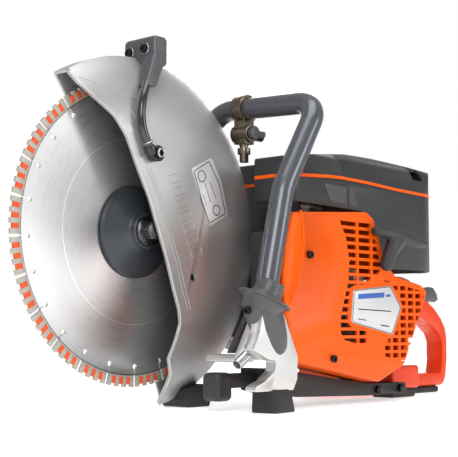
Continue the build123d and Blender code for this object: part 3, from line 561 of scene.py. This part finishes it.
def add_starter_grip():
    """Sloping bar that swells at its ends, over a stem that narrows in its middle."""
    bar_run = [((247, -163, 207.5), 6.0, 1.25), ((272, -163, 207.5), 8.5, 1.0), ((305, -163, 203), 9.5, 0.9),
               ((330, -163, 198.5), 8.0, 1.0), ((346.5, -163, 197), 5.6, 1.4)]
    stem_run = [((290, -163, 200), 14.0, 0.62), ((277, -163, 186), 10.0, 0.8), ((270, -163, 174), 9.0, 0.9),
                ((267.5, -163, 168.5), 8.8, 0.9)]
    melt_together("starter_grip_look", [bar_run, stem_run], "starter_grip")


def turned(axis, count):
    """Unit vectors spread evenly around an axis."""
    side = axis.orthogonal().normalized()
    up = axis.cross(side).normalized()
    return [side * cos(2 * pi * k / count) + up * sin(2 * pi * k / count) for k in range(count)]


def skin(work, pairs):
    """Faces between pairs of closed rings of corners."""
    for a, b in pairs:
        for k in range(len(a)):
            after = (k + 1) % len(a)
            work.faces.new((a[k], a[after], b[after], b[k]))


def lathe(name, origin, axis, profile, node):
    """Turned shape from (radius, height) millimetres about an axis, standing for the node."""
    work = bmesh.new()
    rings = [[work.verts.new(origin + (turn * radius + axis * height) * MM) for turn in turned(axis, 64)]
             for radius, height in profile]
    skin(work, zip(rings, rings[1:] + rings[:1]))
    bmesh.ops.recalc_face_normals(work, faces=work.faces)
    obj = new_piece(name, work)
    bevel = obj.modifiers.new("bevel", "BEVEL")
    bevel.width, bevel.segments, bevel.limit_method = 0.6 * MM, 3, "ANGLE"
    apply_modifiers(obj)
    obj.data.materials.append(material_of(node))
    smooth_by_angle(obj.data, 40)
    return place(obj, node)


def add_handle_foot():
    """Sleeve with a thin tipped brim around the handle's leg, and the rounded tongue below it."""
    origin = at(56, -148, 122)
    axis = Vector((0.36, -0.20, 0.91)).normalized()
    sleeve = [(13.2, 21), (15.4, 20.5), (16.0, 12), (17.2, 6), (20, 3.2), (30, 1.2), (30, -0.8), (25, -2.2),
              (22.5, -6), (21.5, -15), (13.2, -15)]
    lathe("handle_collar_look", origin, axis, sleeve, "handle_collar")
    tongue = [((53, -147, 112), 22.0, 0.90), ((59, -149, 96), 21.5, 0.85), ((65, -152, 82), 18.0, 0.80),
              ((68, -154, 74), 14.0, 0.80)]
    melt_together("handle_sleeve_look", [tongue], "handle_sleeve")


add_starter_grip()
add_handle_foot()


# ---- Small raised details ----
def surface_finder(node, side):
    """Function giving the node's outer surface point above an (x, z) place, seen from the -Y or +Y side."""
    tree = BVHTree.FromPolygons([v.co[:] for v in NODES[node].data.vertices],
                                [p.vertices[:] for p in NODES[node].data.polygons])

    def find(x, z):
        return tree.ray_cast(at(x, side * 400, z), Vector((0, -side, 0)))[0]
    return find


def bead(name, points, radius_mm, node, material, closed=False, sides=8):
    """Thin round bead along a line of points in metres."""
    count = len(points)
    work = bmesh.new()
    rings = []
    for k, point in enumerate(points):
        before = points[k - 1] if k or closed else point
        after = points[(k + 1) % count] if k + 1 < count or closed else point
        way = (after - before).normalized()
        across = way.cross(Vector((0, 1, 0))).normalized()
        out = way.cross(across).normalized()
        ring = []
        for n in range(sides):
            angle = 2 * pi * n / sides
            ring.append(work.verts.new(point + (across * cos(angle) + out * sin(angle)) * radius_mm * MM))
        rings.append(ring)
    skin(work, zip(rings, rings[1:]))
    if closed:
        skin(work, [(rings[-1], rings[0])])
    else:
        work.faces.new(rings[0][::-1])
        work.faces.new(rings[-1])
    bmesh.ops.recalc_face_normals(work, faces=work.faces)
    obj = new_piece(name, work)
    obj.data.materials.append(MATERIALS[material])
    smooth_by_angle(obj.data, 50)
    return place(obj, node, replace=False)


def spread(corners, step=4.0):
    """Points every few millimetres along straight runs between (x, z) corners."""
    points = []
    for (x0, z0), (x1, z1) in zip(corners, corners[1:]):
        count = max(1, round(hypot(x1 - x0, z1 - z0) / step))
        points += [(x0 + (x1 - x0) * k / count, z0 + (z1 - z0) * k / count) for k in range(count)]
    return points + [corners[-1]]


def surface_line(find, corners, sink_mm, side, step=4.0):
    """Points of a line laid on a surface and sunk a little into it."""
    points = []
    for x, z in spread(corners, step):
        hit = find(x, z)
        if hit is not None:
            points.append(hit - Vector((0, side * sink_mm * MM, 0)))
    return points


# The guard's front edge, a little inside its rim, from its foot to its upper tip.
GUARD_EDGE = [(32.5, 24), (31.5, 40), (21.5, 57), (28.5, 76), (35.5, 97), (33.5, 112), (25.5, 133),
              (14.5, 166), (-14.5, 235), (-32.5, 268.5), (-48.5, 300), (-64.5, 321), (-85.5, 339.5),
              (-98.5, 355), (-103.5, 366)]
RIDGE_RUN = slice(5, 10)
# Embossed blocks on the guard: first and last place, width, lean and share of the pitch filled.
BLOCKS_TOP, BLOCKS_BOTTOM, BLOCKS, BLOCK_WIDE, BLOCK_LEAN, BLOCK_SHARE = (14, 262), (56, 166), 7, 17, 5, 0.62


def along(start, end, share):
    """Point a share of the way between two (x, z) points."""
    return (start[0] + (end[0] - start[0]) * share, start[1] + (end[1] - start[1]) * share)


def add_guard_details():
    """Rim bead, two ridges beside it, a crease under the grip and a plain embossed band of blocks."""
    find = surface_finder("guard_shell", -1)
    bead("guard_rim_bead", surface_line(find, GUARD_EDGE, 0.1, -1), 1.2, "guard_shell", "guard_edge")
    for number, shift in enumerate((13.0, 18.0)):
        line = [(x + shift, z) for x, z in GUARD_EDGE[RIDGE_RUN]]
        bead(f"guard_ridge_{number}", surface_line(find, line, 0.0, -1), 0.8, "guard_shell", "guard_paint")
    for number, line in enumerate(([(-96, 362), (-52, 346), (-20, 343)], [(-52, 346), (-36, 322)])):
        points = surface_line(find, line, 0.15, -1)
        bead(f"guard_crease_{number}", points, 0.8, "guard_shell", "guard_paint")
    for k in range(BLOCKS):
        upper = along(BLOCKS_TOP, BLOCKS_BOTTOM, k / BLOCKS)
        lower = along(BLOCKS_TOP, BLOCKS_BOTTOM, (k + BLOCK_SHARE) / BLOCKS)
        far_side = [(x + BLOCK_WIDE, z + BLOCK_LEAN) for x, z in (upper, lower)]
        corners = [upper, *far_side, lower, upper]
        points = surface_line(find, corners, 0.05, -1, step=3)[:-1]
        bead(f"guard_emboss_{k}", points, 0.7, "guard_shell", "guard_paint", closed=True, sides=6)


add_guard_details()


def plate_outline(node, inset):
    """Corner points of a plate's outer (-Y) face, drawn in towards its middle."""
    mesh = NODES[node].data
    front = min(v.co.y for v in mesh.vertices)
    corners = [v.co.copy() for v in mesh.vertices if v.co.y < front + 0.3 * MM]
    centre = sum(corners, Vector()) / len(corners)
    corners.sort(key=lambda c: atan2(c.z - centre.z, c.x - centre.x))
    outline = []
    for corner in corners:
        pull = centre - corner
        pull.y = 0
        if not outline or (corner - outline[-1]).length > 0.4 * MM:
            outline.append(corner + pull.normalized() * inset * MM)
    return outline


def bar(name, corners, node, material, depth=0.35):
    """Thin raised quadrilateral on a face that looks towards -Y, from four points in metres."""
    work = bmesh.new()
    lifted = [work.verts.new(c + Vector((0, -depth * MM, 0))) for c in corners]
    base = [work.verts.new(c + Vector((0, 0.3 * MM, 0))) for c in corners]
    work.faces.new(lifted)
    work.faces.new(base[::-1])
    skin(work, [(lifted, base)])
    bmesh.ops.recalc_face_normals(work, faces=work.faces)
    obj = new_piece(name, work)
    bevel = obj.modifiers.new("bevel", "BEVEL")
    bevel.width, bevel.segments = 0.2 * MM, 2
    apply_modifiers(obj)
    obj.data.materials.append(MATERIALS[material])
    smooth_by_angle(obj.data)
    return place(obj, node, replace=False)


# Plain bars on the plate of the starter cover: left and right end (x), height of each end (z),
# thickness and material.
PLATE_BARS = {
    "maker_plate_bar": (222, 276, 125.5, 128.5, 6.0, "blue_print"),
    "maker_plate_tail": (280, 289, 129.0, 129.8, 3.0, "blue_print"),
    "maker_plate_line": (222, 290, 113.0, 111.0, 1.3, "dark_steel"),
    "maker_plate_mark_left": (221, 238, 101.5, 100.0, 1.2, "panel_plastic"),
    "maker_plate_mark_right": (268, 286, 94.0, 92.5, 1.6, "panel_plastic"),
}


def add_plate_bars():
    """Border and plain bars on the starter cover's plate."""
    node = "starter_label"
    bead("maker_plate_border", plate_outline(node, 1.6), 0.45, node, "dark_steel", closed=True)
    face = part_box(node)[0].y
    for name, (x0, x1, z_left, z_right, height, material) in PLATE_BARS.items():
        places = [(x0, z_left), (x1, z_right), (x1, z_right + height), (x0, z_left + height)]
        corners = [at(x, 0, z) for x, z in places]
        for corner in corners:
            corner.y = face
        bar(name, corners, node, material)


GUARD_PLATE_BORDER = [(52, 270), (80, 285.5), (97.5, 261), (109, 226.5), (81, 213), (52, 270)]
GUARD_PLATE_RINGS = [(68, 267, 6.5), (93, 229, 6.0)]
GUARD_PLATE_LINES = [[(73, 259), (83, 238)], [(82, 262), (92, 243)], [(70, 246), (76, 233)]]


def add_guard_plate_lines():
    """Border, two plain rings and three plain lines on the guard's plate."""
    node, corners = "guard_label", 20
    find = surface_finder(node, -1)
    border = surface_line(find, GUARD_PLATE_BORDER, 0.1, -1, 3)
    bead("guard_plate_border", border[:-1], 0.55, node, "dark_steel", closed=True)
    for number, (x, z, radius) in enumerate(GUARD_PLATE_RINGS):
        angles = [2 * pi * k / corners for k in range(corners)]
        ring = [find(x + radius * cos(angle), z + radius * sin(angle)) for angle in angles]
        bead(f"guard_plate_ring_{number}", ring, 0.5, node, "dark_steel", closed=True)
    for number, line in enumerate(GUARD_PLATE_LINES):
        points = surface_line(find, line, 0.1, -1, 3)
        bead(f"guard_plate_line_{number}", points, 0.4, node, "dark_steel")


add_plate_bars()
add_guard_plate_lines()


PATCH_LIFT, PATCH_SINK, PATCH_THICK = 0.7, 0.4, 0.6


def skin_patch(name, node, corners, material):
    """Slightly raised patch that follows the node's -Y surface, between four (x, z) corners."""
    low_left, low_right, high_right, high_left = corners
    find, steps = surface_finder(node, -1), 16
    rows = []
    work = bmesh.new()
    for j in range(steps + 1):
        row = []
        for i in range(steps + 1):
            low, high = along(low_left, low_right, i / steps), along(high_left, high_right, i / steps)
            x, z = along(low, high, j / steps)
            on_rim = i in (0, steps) or j in (0, steps)
            move = PATCH_SINK if on_rim else -PATCH_LIFT
            row.append(work.verts.new(find(x, z) + Vector((0, move * MM, 0))))
        rows.append(row)
    for a, b in zip(rows, rows[1:]):
        for i in range(steps):
            work.faces.new((a[i], a[i + 1], b[i + 1], b[i]))
    bmesh.ops.recalc_face_normals(work, faces=work.faces)
    obj = new_piece(name, work)
    solid = obj.modifiers.new("solid", "SOLIDIFY")
    solid.thickness, solid.offset = PATCH_THICK * MM, 0
    apply_modifiers(obj)
    obj.data.materials.append(MATERIALS[material])
    smooth_by_angle(obj.data, 40)
    return place(obj, node, replace=False)


def ring_at(name, centre, way, radius_mm, thick_mm, node, material="machined_steel"):
    """Ring of round wire about an axis."""
    points = [centre + turn * radius_mm * MM for turn in turned(way, 24)]
    bead(name, points, thick_mm, node, material, closed=True)


HOOD_PANELS = {
    "hood_panel_front": ("cylinder_cover", ((204, 241), (235.5, 240.5), (235.5, 262), (190, 263.5))),
    "hood_panel_rear": ("air_filter_cover", ((240.5, 240.5), (259, 239.5), (244, 262), (240.5, 262))),
}
HOSE_END, HOSE_WAY = at(-25.5, -49.4, 295), Vector((8, -0.5, -15)).normalized()
NOZZLE_BOLT = at(-12, -57.2, 284)
GRIP_SCREWS = [at(-3.2, 5, 407), at(-3.2, -20, 408.5)]
PIPE_START, PIPE_END = at(53, -137, 70.5), at(23, -137, 52)


def add_small_fittings():
    """Light panel on the hood, clamp rings, screw rims and the discoloured ring on the exhaust pipe."""
    for name, (node, corners) in HOOD_PANELS.items():
        skin_patch(name, node, corners, "panel_plastic")
    ring_at("hose_clamp", HOSE_END, HOSE_WAY, 5.4, 0.9, "hose_nozzle")
    ring_at("nozzle_insert", NOZZLE_BOLT, Vector((0, 1, 0)), 4.6, 1.1, "guard_screws")
    for number, screw in enumerate(GRIP_SCREWS):
        ring_at(f"grip_screw_rim_{number}", screw, Vector((1, 0, 0)), 6.3, 0.8, "guard_screws")
    way = (PIPE_END - PIPE_START).normalized()
    ring_at("exhaust_heat_ring", PIPE_START + way * 6 * MM, way, 8.3, 1.6, "exhaust_pipe", "brown_steel")


add_small_fittings()


# ---- Diamond segments ----
SEGMENT_COUNT, FIRST_SLOT, SLOT_ANGLE = 25, 127.0, 1.2
TEETH = 4
RIM_RADIUS, CORE_RADIUS, FILL_RADIUS = 175.0, 162.0, 172.0
ROOT = 1.6
TOOTH_HALF, FILL_HALF, ROOT_HALF = 1.45, 1.6, 1.35


def wedge_block(work, start, end, inner, outer, half):
    """Curved block between two angles (degrees) and two radii (mm), reaching half mm either side."""
    steps = 3
    rings = []
    for k in range(steps + 1):
        a = radians(start + (end - start) * k / steps)
        ring = [work.verts.new(AXLE + Vector((r * cos(a), y, r * sin(a))) * MM)
                for r, y in ((inner, -half), (outer, -half), (outer, half), (inner, half))]
        rings.append(ring)
    skin(work, zip(rings, rings[1:]))
    work.faces.new(rings[0][::-1])
    work.faces.new(rings[-1])


def rim_piece(name, blocks, material, bevel_mm):
    work = bmesh.new()
    for block in blocks:
        wedge_block(work, *block)
    bmesh.ops.recalc_face_normals(work, faces=work.faces)
    obj = new_piece(name, work)
    bevel = obj.modifiers.new("bevel", "BEVEL")
    bevel.width, bevel.segments = bevel_mm * MM, 2
    bevel.limit_method, bevel.angle_limit = "ANGLE", radians(40)
    apply_modifiers(obj)
    obj.data.materials.append(MATERIALS[material])
    smooth_by_angle(obj.data)
    return obj


def add_segments():
    """Each segment is a row of teeth with coloured blocks between them, on a low root."""
    pitch = 360 / SEGMENT_COUNT
    length = pitch - SLOT_ANGLE
    stretches = 2 * TEETH - 1
    step = length / stretches
    root_radius = CORE_RADIUS + ROOT
    bare, filled = [], []
    for k in range(SEGMENT_COUNT):
        first = FIRST_SLOT + pitch / 2 + k * pitch - length / 2
        starts = [first + n * step for n in range(stretches)]
        bare += [(start, start + step, CORE_RADIUS, RIM_RADIUS - 0.1, TOOTH_HALF) for start in starts[::2]]
        filled += [(start, start + step, root_radius, FILL_RADIUS, FILL_HALF) for start in starts[1::2]]
        bare += [(start, start + step, CORE_RADIUS, root_radius, ROOT_HALF) for start in starts[1::2]]
    place(rim_piece("segment_teeth", bare, "segment_metal", 0.25), "blade_segments")
    place(rim_piece("segment_fill", filled, "segment_fill", 0.35), "blade_segments", replace=False)


add_segments()
